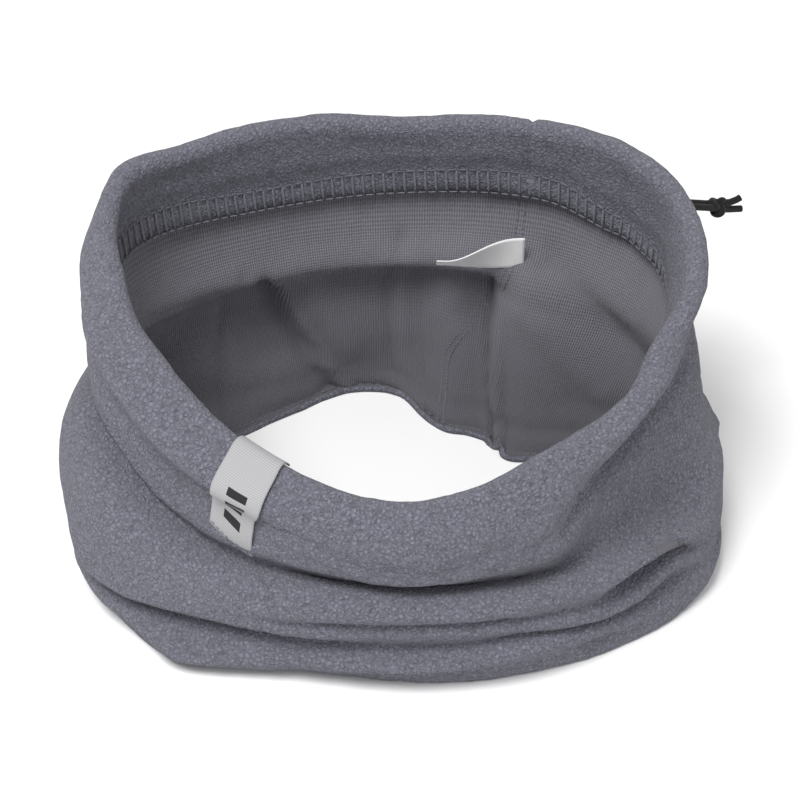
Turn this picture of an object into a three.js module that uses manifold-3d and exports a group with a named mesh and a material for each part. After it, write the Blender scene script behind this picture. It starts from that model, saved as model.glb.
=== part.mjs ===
// A fleece neck gaiter at rest, standing on its lower edge with its rim up.
// Millimetres, +Z up, -Y towards the low front of the rim, +Y towards its high back.
// The tube is one sheet of brushed fleece. Its top edge is turned inside as a hem that
// holds a drawcord, and both ends of the cord leave through an eyelet near +X, +Y.
import * as THREE from 'three';
import { mergeVertices } from 'three/addons/utils/BufferGeometryUtils.js';
import Module from 'manifold-3d';

const wasm = await Module();
wasm.setup();

// Driving dimensions of the tube
const HALF_WIDTH = 97;          // the oval that every fold is measured from
const HALF_DEPTH = 78;
const STANDING_HEIGHT = 104;    // floor to the top of the rim at the back
const FLEECE = 2.2;             // thickness of the fleece
const LIP_WIDTH = 9;            // lower edge, turned in flat on the floor
const CLEARANCE = 0.3;          // gap between pieces that touch
const HEM_PINCH = 0.5;          // gap left in the hem where it is stitched down

// Driving dimensions of the cord, its eyelet and its lock
const CORD = 2.2;               // diameter of the drawcord
const STRAND_GAP = 0.6;         // between the two free strands
const EYELET_ANGLE = 41;        // degrees round the tube, from +X towards +Y
const EYELET_WALL = 0.5;
const EYELET_FLANGE = 1.6;      // how far the flange reaches past the hole
const EYELET_FLANGE_THICK = 0.6;
const KNOT_LENGTH = 7.2;
const KNOT_WIDTH = 6.6;
const LOCK_TRAVEL = 2;          // how far the button goes in
const LOCK_WALL = 1.5;
const PLUNGER_WALL = 0.8;       // beside the slot that the cord runs through
const PLUNGER_WEB = 1.1;        // under that slot
const SPRING_WIRE = 0.4;
const SPRING_TURNS = 2.5;

// Driving dimensions of the labels and the threads
const BRAND_LABEL_FROM = 235;   // degrees round the tube
const BRAND_LABEL_TO = 246.5;
const LABEL_THICK = 0.6;
const CARE_LABEL_LENGTH = 28;
const CARE_LABEL_WIDTH = 12;
const CARE_LABEL_THICK = 0.5;
const CARE_LABEL_RISE = 4.1;    // its middle above the place on the wall it is sewn to
const CARE_LABEL_REACH = 17;    // degrees that it spans round the tube
const CARE_LABEL_LEAN = 3;      // how far its free end stands off the wall
const SEAM_ANGLE = 64;          // degrees round the tube, where the back seam runs
const SEAM_HALF_ANGLE = 0.7;
const THREAD = 0.5;             // thickness of a row of stitches

// Where the rows of stitches lie, in steps of the fleece from the line each one follows
const OVERLOCK_ROW = [0.2, 1.1];        // from the hem's cut edge
const TOPSTITCH_ROW = [-0.15, 0.15];    // from the hem's stitch line
const BOTTOM_ROW = [-0.6, -0.2];        // from the end of the lip
const SEAM_TOP = 2.2;                   // under the hem's stitch line
const SEAM_FOOT = 1;                    // above the end of the lip
const CARE_LABEL_STATION = 2.5;         // under the hem's stitch line
const BRAND_LABEL_TOP = 4;              // up from the hem's cut edge, inside the rim
const BRAND_LABEL_FOOT = 1.6;           // under the hem's stitch line
const BRAND_LABEL_ROW = [-0.5, -0.3];   // from the label's lower end
const BRAND_LABEL_MARGIN = 0.5;         // degrees between that row and the label's sides

// The rings that the fleece passes through, from the rim down. Each holds a distance
// outside the oval in mm and a height in percent of the standing height, at every 30
// degrees from +X by way of +Y.
const RIM = {
  out: [-11, -3, -3, -8, -8, -3, -15, -19, -14, -6, -12, -16],
  up: [86, 95, 99, 98, 100, 95, 90, 82, 69, 61, 69, 79],
};
const HEM = {
  out: [-3, 0, 0, -4, -4, 2, -3, -6, -5, 1, -3, -6],
  up: [65, 71, 74, 76, 76, 72, 66, 59, 50, 43, 51, 59],
};
const WAIST = {
  out: [-5, -6, -6, -10, -10, -4, -3, -5, -6, -3, -5, -6],
  up: [46, 47, 47, 45, 45, 47, 50, 42, 37, 32, 35, 41],
};
const BULGE = {
  out: [-1, 0, 0, 0, 0, 2, 4, 4, 4, 2, 1, 2],
  up: [26, 27, 27, 27, 27, 29, 30, 26, 23, 23, 22, 24],
};
const CREASE = {
  out: [-3, -3, -3, -3, -3, -2, 0, 4, 3, 0, 0, 2],
  up: [14, 14, 14, 14, 14, 15, 15, 14, 14, 15, 14, 14],
};
const FOOT = {
  out: [-1, -2, -3, -4, -4, -4, -2, 5, 5, 2, 3, 4],
  up: [7, 7, 7, 7, 7, 7, 7, 7, 7, 7, 7, 7],
};
const SOLE_OUT = [-4, -6, -7, -8, -8, -8, -6, 1, 1, -2, 0, 1];
const FOLDS = [RIM, HEM, WAIST, BULGE, CREASE, FOOT];

// Steps of the fleece between one ring and the next, and round the tube
const RING_STEPS = [5, 3, 3, 2, 2, 2];
const TURN_STEPS = 4;
const LIP_STEPS = [1 / 3, 1];   // parts of the lip's width
const ROUND_STEPS = 60;
const HEM_WALL_STEPS = 6;       // how many steps of the wall the turned hem reaches down
const CORD_SIDES = 8;
const CHANNEL_STEPS = 78;

// Sizes that follow from those
const CHANNEL = CORD + 2 * CLEARANCE;
const STRAND_SPACING = CORD + STRAND_GAP;
const TURN_RADIUS = (CHANNEL + FLEECE) / 2;
const CORD_LEVEL = 3.7;         // wall step that the cord and its eyelet lie at
const SKIN = FLEECE / 2;        // from the middle of the fleece to either face
const EYELET_BORE = STRAND_SPACING + CORD + 2 * CLEARANCE;
const EYELET_BARREL = EYELET_BORE + 2 * EYELET_WALL;
const SLOT_WIDTH = STRAND_SPACING + CORD + 2 * CLEARANCE;
const SLOT_HEIGHT = CORD + 2 * CLEARANCE;
const PLUNGER = SLOT_WIDTH + 2 * PLUNGER_WALL;
const LOCK_BORE = PLUNGER + 2 * CLEARANCE;
const LOCK = LOCK_BORE + 2 * LOCK_WALL;

const rad = THREE.MathUtils.degToRad;

function around(values, degrees) {
  const place = THREE.MathUtils.euclideanModulo(degrees, 360) / 360 * values.length;
  const start = Math.floor(place);
  const f = place - start;
  const at = (step) => values[(start + step + values.length) % values.length];
  const pull = (at(1) - at(-1)) / 2;
  const push = (at(2) - at(0)) / 2;
  const rise = at(1) - at(0);
  return at(0) + f * (pull + f * (3 * rise - 2 * pull - push + f * (pull + push - 2 * rise)));
}

// The tube's outward direction at an angle, and the point on the oval there
function outward(degrees) {
  const a = rad(degrees);
  return new THREE.Vector3(HALF_DEPTH * Math.cos(a), HALF_WIDTH * Math.sin(a), 0).normalize();
}

function onOval(degrees) {
  const a = rad(degrees);
  return new THREE.Vector3(HALF_WIDTH * Math.cos(a), HALF_DEPTH * Math.sin(a), 0);
}

function place(degrees, section) {
  return onOval(degrees).addScaledVector(outward(degrees), section.x).setZ(section.y);
}

// The sum of a list of steps
const total = (steps) => steps.reduce((sum, step) => sum + step, 0);

// The outer wall's middle line at one angle, in section: x out from the oval, y up
function wallLine(degrees) {
  const tall = STANDING_HEIGHT - SKIN;
  const keys = FOLDS.map((fold) => new THREE.Vector2(
    around(fold.out, degrees), around(fold.up, degrees) / 100 * tall));
  keys[0].x += TURN_RADIUS;
  keys[0].y -= TURN_RADIUS;
  keys.push(new THREE.Vector2(around(SOLE_OUT, degrees), SKIN));
  const curve = new THREE.SplineCurve(keys);
  const line = [keys[0]];
  RING_STEPS.forEach((steps, ring) => {
    for (let step = 1; step <= steps; step += 1) {
      line.push(curve.getPoint((ring + step / steps) / RING_STEPS.length));
    }
  });
  const sole = line.at(-1);
  const lip = LIP_STEPS.map((part) => new THREE.Vector2(sole.x - part * LIP_WIDTH, SKIN));
  return line.concat(lip);
}

// Directions that face out of the pile, square to a middle line
function pileSide(line) {
  return line.map((point, i) => {
    const before = line[Math.max(i - 1, 0)];
    const after = line[Math.min(i + 1, line.length - 1)];
    const along = after.clone().sub(before).normalize();
    return new THREE.Vector2(-along.y, along.x);
  });
}

// The whole middle line: up the turned hem, over the rim and down the wall to the lip
function fleeceLine(degrees) {
  const wall = wallLine(degrees);
  const pile = pileSide(wall);
  const closed = FLEECE + HEM_PINCH;
  const open = 2 * TURN_RADIUS;
  const line = [];
  for (let i = HEM_WALL_STEPS; i >= 0; i -= 1) {
    const shut = THREE.MathUtils.smoothstep(i, Math.ceil(CORD_LEVEL), RING_STEPS[0]);
    const gap = THREE.MathUtils.lerp(open, closed, shut);
    line.push(wall[i].clone().addScaledVector(pile[i], -gap));
  }
  const middle = wall[0].clone().addScaledVector(pile[0], -TURN_RADIUS);
  const upright = new THREE.Vector2(-pile[0].y, pile[0].x);
  for (let step = TURN_STEPS - 1; step > 0; step -= 1) {
    const a = Math.PI * step / TURN_STEPS;
    line.push(middle.clone()
      .addScaledVector(pile[0], TURN_RADIUS * Math.cos(a))
      .addScaledVector(upright, TURN_RADIUS * Math.sin(a)));
  }
  return line.concat(wall);
}

const WALL_START = HEM_WALL_STEPS + TURN_STEPS;
const HEM_STITCH = WALL_START + RING_STEPS[0];
const LIP_END = WALL_START + total(RING_STEPS) + LIP_STEPS.length;

// Points on or off the fleece at one angle. Station counts along the middle line from the
// hem's cut edge, and side is how far out of the pile it lies, negative on the knit face.
function fleeceAt(degrees) {
  const line = fleeceLine(degrees);
  const pile = pileSide(line);
  return (station, side) => {
    const low = Math.min(Math.floor(station), line.length - 2);
    const ends = [low, low + 1].map((i) => line[i].clone().addScaledVector(pile[i], side));
    return place(degrees, ends[0].lerp(ends[1], station - low));
  };
}

function onFleece(degrees, station, side) {
  return fleeceAt(degrees)(station, side);
}

function stationsBetween(from, to) {
  const list = [from];
  for (let i = Math.floor(from) + 1; i < to; i += 1) {
    list.push(i);
  }
  list.push(to);
  return list;
}

function anglesBetween(from, to, steps) {
  return Array.from({ length: steps + 1 }, (_, i) => from + (to - from) * i / steps);
}

// A closed layer that follows the fleece between two stations and two distances from
// its middle; with no angles it goes all the way round
function layer(from, to, low, high, angles) {
  const stations = stationsBetween(from, to);
  const ring = !angles;
  const turns = ring ? anglesBetween(0, 360, ROUND_STEPS).slice(0, -1) : angles;
  const loop = 2 * stations.length;
  const points = [];
  for (const degrees of turns) {
    const at = fleeceAt(degrees);
    stations.forEach((station) => points.push(...at(station, high)));
    stations.toReversed().forEach((station) => points.push(...at(station, low)));
  }
  const faces = [];
  const spans = ring ? turns.length : turns.length - 1;
  for (let j = 0; j < spans; j += 1) {
    for (let i = 0; i < loop; i += 1) {
      const a = j * loop + i;
      const b = j * loop + (i + 1) % loop;
      const c = (j + 1) % turns.length * loop + (i + 1) % loop;
      const d = (j + 1) % turns.length * loop + i;
      faces.push(a, b, c, a, c, d);
    }
  }
  if (!ring) {
    const last = (turns.length - 1) * loop;
    for (let i = 0; i < stations.length - 1; i += 1) {
      const far = loop - 1 - i;
      faces.push(i, far, i + 1, i + 1, far, far - 1);
      faces.push(last + i, last + i + 1, last + far, last + i + 1, last + far - 1, last + far);
    }
  }
  const geometry = new THREE.BufferGeometry();
  geometry.setAttribute('position', new THREE.Float32BufferAttribute(points, 3));
  geometry.setIndex(faces);
  return geometry;
}

// Booleans
function solid(geometry) {
  const bare = geometry.clone();
  bare.deleteAttribute('normal');
  bare.deleteAttribute('uv');
  const merged = mergeVertices(bare, 1e-4);
  return new wasm.Manifold(new wasm.Mesh({
    numProp: 3,
    vertProperties: new Float32Array(merged.attributes.position.array),
    triVerts: new Uint32Array(merged.index.array),
  }));
}

function cut(geometry, tool) {
  const mesh = solid(geometry).subtract(solid(tool)).getMesh();
  const result = new THREE.BufferGeometry();
  result.setAttribute('position', new THREE.BufferAttribute(mesh.vertProperties, 3));
  result.setIndex(new THREE.BufferAttribute(mesh.triVerts, 1));
  return result;
}

// A lathe with its axis along +Z, from a profile of [radius, height]
function turned(profile, sides) {
  const points = profile.map(([radius, height]) => new THREE.Vector2(radius, height));
  return new THREE.LatheGeometry(points, sides).rotateX(Math.PI / 2);
}

function roundSection(diameter, sides) {
  const corners = Array.from({ length: sides }, (_, i) => {
    const a = 2 * Math.PI * i / sides;
    return new THREE.Vector2(Math.cos(a), Math.sin(a)).multiplyScalar(diameter / 2);
  });
  return new THREE.Shape(corners);
}

function cordAlong(points, steps) {
  const extrudePath = new THREE.CatmullRomCurve3(points, false, 'centripetal');
  return new THREE.ExtrudeGeometry(roundSection(CORD, CORD_SIDES), { steps, extrudePath });
}

const finishes = {
  fleece: { color: 0x77777f, roughness: 0.95, metalness: 0 },
  thread: { color: 0x3c3c42, roughness: 0.8, metalness: 0 },
  woven: { color: 0xd4d4d6, roughness: 0.75, metalness: 0 },
  satin: { color: 0xf2f2f2, roughness: 0.5, metalness: 0 },
  cord: { color: 0x17171a, roughness: 0.8, metalness: 0 },
  plastic: { color: 0x1b1b1d, roughness: 0.45, metalness: 0 },
  steel: { color: 0x8d9094, roughness: 0.3, metalness: 1 },
};

function named(name, geometry, finish) {
  const mesh = new THREE.Mesh(geometry, new THREE.MeshStandardMaterial(finishes[finish]));
  mesh.name = name;
  return mesh;
}

// The eyelet's middle on the pile face, and the directions that the cord's route uses
const eyelet = onFleece(EYELET_ANGLE, WALL_START + CORD_LEVEL, SKIN);
const eyeletOut = outward(EYELET_ANGLE);
const eyeletAlong = new THREE.Vector3(eyeletOut.y, -eyeletOut.x, 0);

function eyeletAxis() {
  const inside = onFleece(EYELET_ANGLE, WALL_START + CORD_LEVEL, -SKIN);
  return eyelet.clone().sub(inside).normalize();
}

function fleeceTube() {
  const tube = layer(0, LIP_END, -SKIN, SKIN);
  const bore = EYELET_BARREL + 2 * CLEARANCE;
  const depth = FLEECE + CHANNEL;
  const drill = new THREE.CylinderGeometry(bore / 2, bore / 2, depth, 20).rotateX(Math.PI / 2);
  const turn = new THREE.Quaternion().setFromUnitVectors(new THREE.Vector3(0, 0, 1), eyeletAxis());
  const middle = eyelet.clone().addScaledVector(eyeletAxis(), -FLEECE / 2);
  drill.applyQuaternion(turn).translate(...middle);
  return named('fleece_tube', cut(tube, drill), 'fleece');
}

// Rows of stitches: a pair of stations from a line, on the pile or on the knit face
function pileRow(line, [from, to], low, angles) {
  return layer(line + from, line + to, low, low + THREAD, angles);
}

function knitRow(line, [from, to], angles) {
  const high = -SKIN - CLEARANCE;
  return layer(line + from, line + to, high - THREAD, high, angles);
}

function overlock() {
  return named('hem_overlock_thread', pileRow(0, OVERLOCK_ROW, SKIN + CLEARANCE), 'thread');
}

function topstitch() {
  const geometry = pileRow(HEM_STITCH, TOPSTITCH_ROW, SKIN + CLEARANCE);
  return named('hem_topstitch_thread', geometry, 'thread');
}

function bottomStitch() {
  return named('bottom_hem_thread', knitRow(LIP_END, BOTTOM_ROW), 'thread');
}

function backSeam() {
  const angles = anglesBetween(SEAM_ANGLE - SEAM_HALF_ANGLE, SEAM_ANGLE + SEAM_HALF_ANGLE, 1);
  const row = [SEAM_TOP, LIP_END - SEAM_FOOT - HEM_STITCH];
  return named('back_seam_thread', knitRow(HEM_STITCH, row, angles), 'thread');
}

// The woven label, folded over the rim, and the row that holds its lower end
const BRAND_LABEL_END = HEM_STITCH + BRAND_LABEL_FOOT;

function brandLabel() {
  const low = SKIN + THREAD + 2 * CLEARANCE;
  const angles = anglesBetween(BRAND_LABEL_FROM, BRAND_LABEL_TO, 3);
  const geometry = layer(BRAND_LABEL_TOP, BRAND_LABEL_END, low, low + LABEL_THICK, angles);
  return named('brand_label', geometry, 'woven');
}

function brandLabelStitch() {
  const low = SKIN + THREAD + LABEL_THICK + 3 * CLEARANCE;
  const from = BRAND_LABEL_FROM + BRAND_LABEL_MARGIN;
  const angles = anglesBetween(from, BRAND_LABEL_TO - BRAND_LABEL_MARGIN, 3);
  const geometry = pileRow(BRAND_LABEL_END, BRAND_LABEL_ROW, low, angles);
  return named('brand_label_stitch', geometry, 'thread');
}

// The care label hangs from the back seam by one end, so it swings about that edge
function careLabel() {
  const station = HEM_STITCH + CARE_LABEL_STATION;
  const gap = SKIN + THREAD + 2 * CLEARANCE + CARE_LABEL_THICK / 2;
  const sewn = onFleece(SEAM_ANGLE, station, -gap);
  const free = onFleece(SEAM_ANGLE + CARE_LABEL_REACH, station, -gap - CARE_LABEL_LEAN);
  const label = new THREE.BoxGeometry(CARE_LABEL_LENGTH, CARE_LABEL_THICK, CARE_LABEL_WIDTH);
  label.translate(CARE_LABEL_LENGTH / 2, 0, 0);
  const mesh = named('care_label', label, 'satin');
  mesh.position.copy(sewn).setZ(sewn.z + CARE_LABEL_RISE);
  mesh.rotation.z = Math.atan2(free.y - sewn.y, free.x - sewn.x);
  return mesh;
}

// The cord inside the hem, from one side of the eyelet round to the other
function channelCord() {
  const side = -SKIN - CHANNEL / 2;
  const station = WALL_START + CORD_LEVEL;
  const perDegree = onFleece(EYELET_ANGLE, station, side)
    .distanceTo(onFleece(EYELET_ANGLE + 1, station, side));
  const margin = (STRAND_SPACING / 2 + CORD / 2 + CLEARANCE) / perDegree;
  const angles = anglesBetween(EYELET_ANGLE + margin, EYELET_ANGLE + 360 - margin, CHANNEL_STEPS);
  const points = angles.map((degrees) => onFleece(degrees, station, side));
  return named('drawcord_in_channel', cordAlong(points, CHANNEL_STEPS), 'cord');
}

// The free run of the cord, seen from the eyelet: out of it, along the wall, and up
const CHANNEL_MIDDLE = -FLEECE - CHANNEL / 2;
const CORD_RUN = [
  [CHANNEL_MIDDLE, 0, 0], [CHANNEL_MIDDLE / 2, 0, 0], [0, 0, 0],
  [1.2, 0, 0], [2.2, 0.1, 0], [3.2, 0.3, -0.2],
  [4.1, 0.6, -0.4], [6.8, 1.9, -1.2], [9.4, 3.1, -2], [12, 4.4, -2.8], [14.6, 5.6, -3.6],
  [17.2, 6.8, -4.3], [19.8, 8.1, -5.1], [21.4, 8.8, -5.6], [22.9, 9.5, -6.1],
];
const TAIL_LEVEL = -7.85;       // between the two tails, where they leave the knot
const TAILS = {
  left: [[30.1, 13, 0], [31.2, 13.5, 0.2], [32.3, 14.1, 0.5], [33.4, 14.6, 1]],
  right: [[29.6, 12.6, 0], [31.1, 13.3, -0.3], [32.6, 14, -0.6], [34.2, 14.8, -0.9]],
};
const STRAIGHT_FROM = 6;        // the point of the run where its bend ends

function fromEyelet([out, along, up]) {
  return eyelet.clone()
    .addScaledVector(eyeletOut, out)
    .addScaledVector(eyeletAlong, along)
    .setZ(eyelet.z + up);
}

const runStart = fromEyelet(CORD_RUN[STRAIGHT_FROM]);
const runEnd = fromEyelet(CORD_RUN.at(-1));
const runAxis = runEnd.clone().sub(runStart).normalize();
const runSide = new THREE.Vector3(-runAxis.y, runAxis.x, 0).normalize();
const lockAxis = new THREE.Vector3().crossVectors(runAxis, runSide);

function strand(name, side) {
  const shift = runSide.clone().multiplyScalar(side * STRAND_SPACING / 2);
  const points = CORD_RUN.map((point) => fromEyelet(point).add(shift));
  return named(name, cordAlong(points, 14), 'cord');
}

function tail(name, points, side) {
  const level = TAIL_LEVEL + side * (CORD + CLEARANCE) / 2;
  const route = points.map(([out, along, up]) => fromEyelet([out, along, level + up]));
  return named(name, cordAlong(route, 3), 'cord');
}

function knot() {
  const ball = new THREE.SphereGeometry(0.5, 14, 9);
  ball.scale(KNOT_WIDTH, KNOT_WIDTH, KNOT_LENGTH);
  const mesh = named('cord_knot', ball, 'cord');
  mesh.quaternion.setFromUnitVectors(new THREE.Vector3(0, 0, 1), runAxis);
  mesh.position.copy(runEnd).addScaledVector(runAxis, KNOT_LENGTH / 2 + CLEARANCE);
  return mesh;
}

function cordEyelet() {
  const inner = EYELET_BORE / 2;
  const outer = EYELET_BARREL / 2;
  const rim = outer + EYELET_FLANGE;
  const top = CLEARANCE + EYELET_FLANGE_THICK;
  const ring = turned([
    [inner, -FLEECE], [outer, -FLEECE], [outer, CLEARANCE], [rim, CLEARANCE],
    [rim - 0.2, top], [inner, top], [inner, -FLEECE],
  ], 20);
  const mesh = named('cord_eyelet', ring, 'steel');
  mesh.quaternion.setFromUnitVectors(new THREE.Vector3(0, 0, 1), eyeletAxis());
  mesh.position.copy(eyelet);
  return mesh;
}

// The lock, drawn about its own axis with the cord crossing it at height 0
const LOCK_CHAMFER = 0.8;
const LOCK_FLOOR = 1;
const LOCK_MOUTH = SLOT_HEIGHT / 2 + LOCK_TRAVEL + 0.9;
const PLUNGER_LOW = -SLOT_HEIGHT / 2 - PLUNGER_WEB;
const SPRING_ROOM = LOCK_TRAVEL + SPRING_WIRE * SPRING_TURNS + 2 * CLEARANCE;
const BORE_LOW = PLUNGER_LOW - SPRING_ROOM;
const BUTTON_TOP = LOCK_MOUTH + LOCK_TRAVEL + 0.5;

function throughSlot(low, high) {
  const box = new THREE.BoxGeometry(2 * LOCK, SLOT_WIDTH, high - low);
  return box.translate(0, 0, (low + high) / 2);
}

function lockBarrel() {
  const r = LOCK / 2;
  const low = BORE_LOW - LOCK_FLOOR;
  const cup = turned([
    [0, low], [r - LOCK_CHAMFER, low], [r, low + LOCK_CHAMFER], [r, LOCK_MOUTH - LOCK_CHAMFER],
    [r - LOCK_CHAMFER, LOCK_MOUTH], [LOCK_BORE / 2, LOCK_MOUTH], [LOCK_BORE / 2, BORE_LOW],
    [0, BORE_LOW],
  ], 24);
  const slot = throughSlot(-SLOT_HEIGHT / 2, SLOT_HEIGHT / 2);
  return named('lock_barrel', cut(cup, slot), 'plastic');
}

function lockPlunger() {
  const r = PLUNGER / 2;
  const post = turned([
    [0, PLUNGER_LOW], [r, PLUNGER_LOW], [r, BUTTON_TOP - 0.8], [r - 0.3, BUTTON_TOP - 0.2],
    [r - 0.9, BUTTON_TOP], [0, BUTTON_TOP],
  ], 24);
  const slot = throughSlot(-SLOT_HEIGHT / 2, SLOT_HEIGHT / 2 + LOCK_TRAVEL);
  return named('lock_plunger', cut(post, slot), 'plastic');
}

function lockSpring() {
  const radius = LOCK_BORE / 2 - CLEARANCE - SPRING_WIRE;
  const low = BORE_LOW + CLEARANCE + SPRING_WIRE / 2;
  const high = PLUNGER_LOW - CLEARANCE - SPRING_WIRE / 2;
  const count = 12 * SPRING_TURNS;
  const points = anglesBetween(0, 1, count).map((f) => new THREE.Vector3(
    radius * Math.cos(2 * Math.PI * SPRING_TURNS * f),
    radius * Math.sin(2 * Math.PI * SPRING_TURNS * f),
    THREE.MathUtils.lerp(low, high, f)));
  const extrudePath = new THREE.CatmullRomCurve3(points);
  const wire = { steps: count, extrudePath };
  const coil = new THREE.ExtrudeGeometry(roundSection(SPRING_WIRE, 6), wire);
  return named('lock_spring', coil, 'steel');
}

function cordLock() {
  const lock = new THREE.Group();
  lock.add(lockBarrel(), lockPlunger(), lockSpring());
  const turn = new THREE.Matrix4().makeBasis(runAxis, runSide, lockAxis);
  lock.quaternion.setFromRotationMatrix(turn);
  lock.position.copy(runStart).addScaledVector(runAxis, LOCK / 2 + 2 * CLEARANCE);
  return lock;
}

const gaiter = new THREE.Group();
gaiter.add(fleeceTube(), overlock(), topstitch(), bottomStitch(), backSeam());
gaiter.add(brandLabel(), brandLabelStitch(), careLabel());
gaiter.add(cordEyelet(), channelCord());
gaiter.add(strand('cord_strand_left', 1), strand('cord_strand_right', -1), knot());
gaiter.add(tail('cord_tail_left', TAILS.left, 1), tail('cord_tail_right', TAILS.right, -1));
gaiter.add(cordLock());

// The origin lies on the floor under the middle of the fleece and what is sewn to it
const extent = new THREE.Box3();
gaiter.children
  .filter((child) => child.isMesh && !/knot|strand|tail/.test(child.name))
  .forEach((mesh) => extent.expandByObject(mesh, true));
const middle = extent.getCenter(new THREE.Vector3());
gaiter.position.set(-middle.x, -middle.y, 0);

export default gaiter;
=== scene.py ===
"""A scrunched fleece neck gaiter with a drawcord, laid out as a Blender add-on."""
import math

import bmesh
import bpy
import numpy as np
from bpy.props import FloatProperty, FloatVectorProperty, PointerProperty
from mathutils import Matrix, Vector, noise


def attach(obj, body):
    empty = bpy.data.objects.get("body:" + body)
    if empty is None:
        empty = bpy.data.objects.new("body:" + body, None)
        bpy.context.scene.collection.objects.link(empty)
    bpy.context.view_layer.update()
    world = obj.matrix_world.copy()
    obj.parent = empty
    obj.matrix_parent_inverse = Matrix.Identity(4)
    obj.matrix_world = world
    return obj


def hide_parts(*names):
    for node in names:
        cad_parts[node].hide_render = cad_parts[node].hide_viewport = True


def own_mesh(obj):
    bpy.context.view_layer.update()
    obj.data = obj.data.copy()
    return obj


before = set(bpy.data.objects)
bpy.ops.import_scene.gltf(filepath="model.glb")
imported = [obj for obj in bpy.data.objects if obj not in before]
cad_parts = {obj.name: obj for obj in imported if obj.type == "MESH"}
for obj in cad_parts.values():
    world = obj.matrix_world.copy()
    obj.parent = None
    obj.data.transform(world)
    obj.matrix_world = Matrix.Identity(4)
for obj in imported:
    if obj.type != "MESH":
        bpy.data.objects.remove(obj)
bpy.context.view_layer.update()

bl_info = {
    "name": "Fleece Neck Gaiter",
    "version": (1, 0, 0),
    "blender": (4, 5, 0),
    "location": "View3D > Sidebar > Gaiter",
    "description": "Builds a fleece neck gaiter with a drawcord, a cord lock and labels",
    "category": "Object",
}

MM = 0.001
MIDDLE = Vector((2.35, 1.005, 0.0))     # middle of the oval that every fold is measured from
HALF_WIDTH = 97.0
HALF_DEPTH = 78.0
SKIN = 1.1                              # half of the fleece's thickness
TURN_RADIUS = 2.5                       # of the fleece's middle, over the rim
SEAM_ANGLE = 64.0                       # degrees round the tube, from +X towards +Y
COLUMNS = 320
CORD_RADIUS = 1.1

# Where the cord comes out, in mm: the eyelet's middle, and the directions out of it and along.
EYELET = Vector((76.84, 53.564, 81.177))
EYELET_OUT = Vector((0.67909, 0.73406, 0.0))
EYELET_ALONG = Vector((0.73406, -0.67909, 0.0))
EYELET_AXIS = Vector((0.67886, 0.73388, -0.02388))
RUN_SIDE = Vector((-0.37294, 0.92786, 0.0))
RUN_AXIS = Vector((0.89486, 0.35968, -0.26429))
LOCK_AXIS = Vector((0.24522, 0.09856, 0.96444))
LOCK = Vector((85.433, 58.325, 79.191))
KNOT_SIDE = RUN_SIDE * 0.57 + LOCK_AXIS * 0.82
KNOT = Vector((102.854, 65.327, 74.046))
# Points the two cord ends follow: out of the eyelet, along the wall, and up, in mm.
CORD_RUN = [
    (-3.6, 0, 0), (-1.8, 0, 0), (0, 0, 0), (1.2, 0, 0), (2.2, 0.1, 0), (3.2, 0.3, -0.2),
    (4.1, 0.6, -0.4), (6.8, 1.9, -1.2), (9.4, 3.1, -2), (12, 4.4, -2.8), (14.6, 5.6, -3.6),
    (17.2, 6.8, -4.3), (19.8, 8.1, -5.1), (21.4, 8.8, -5.6), (22.9, 9.5, -6.1),
]
LEFT_TAIL = [(30.1, 13, -6.6), (31.2, 13.5, -6.4), (32.3, 14.1, -6.1), (33.4, 14.6, -5.6)]
RIGHT_TAIL = [(29.6, 12.6, -9.1), (31.1, 13.3, -9.4), (32.6, 14, -9.7), (34.2, 14.8, -10)]
EYELET_PROFILE = [(2.8, -2.2), (3.3, -2.2), (3.3, 0.3), (4.9, 0.3), (4.7, 0.9), (2.8, 0.9)]
CARE_HINGE = Vector((41.907, 63.549, 58.8))
CARE_RUN = Vector((-0.99951, 0.03146, 0.0))
CARE_LENGTH = 28.0
CARE_WIDTH = 12.0

# The folds of the outer wall from the rim down. Each is a closed line round the tube:
# (degrees round it, mm outside the oval, height in mm).
RIM = [
    (0, -11, 88.5), (15, -7, 94.5), (30, -3.5, 100), (45, -3, 104), (70, -4.5, 103.5),
    (90, -8, 103), (107, -8, 105), (133, -6, 104.5), (150, -2.5, 105), (157, -3.5, 102.5),
    (165, -7, 98.5), (180, -15, 92.5), (210, -19, 84.5), (240, -14, 71), (270, -6, 63),
    (300, -12, 71), (330, -16, 81.5),
]
BAND = [
    (0, -12, 78), (15, -7, 83), (30, 0, 86), (36, 1, 87), (41, 2, 90),
    (46, 1, 92), (60, 0, 95.5), (90, -4, 94.5), (120, -4, 94),
    (150, 1.5, 95), (165, -0.5, 90), (180, -5, 85), (195, -5, 83), (205, -5, 79.5),
    (215, -4.5, 74), (225, -4, 67), (235, -3.5, 61), (245, -3, 58), (255, -2.5, 56.5),
    (270, 0, 55), (285, -2, 58), (297, -4.5, 61.5), (307, -6.5, 67), (315, -8, 71),
    (322, -9.5, 74.5), (335, -11.5, 76), (350, -12.5, 77),
]
HEM = [
    (0, -12, 66), (15, -8, 70), (30, -1, 74), (36, 0.5, 75), (41, 1.8, 76),
    (46, 0.5, 78), (60, 0, 84.5), (90, -4, 83.5), (120, -4, 82),
    (150, 1, 84.5), (165, -1, 79), (180, -5, 72), (195, -8, 66), (210, -9.5, 62),
    (225, -9, 57.5), (240, -6, 55), (249, -3, 52.2), (255, -2, 50), (262, 0, 46.7),
    (270, 1, 44.7), (278, 0.7, 45.2), (287, -0.8, 47.5), (296, -2.5, 50.6), (303, -9, 53),
    (310, -15, 55), (320, -19, 58), (335, -19, 61), (350, -15.5, 64),
]
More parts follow.
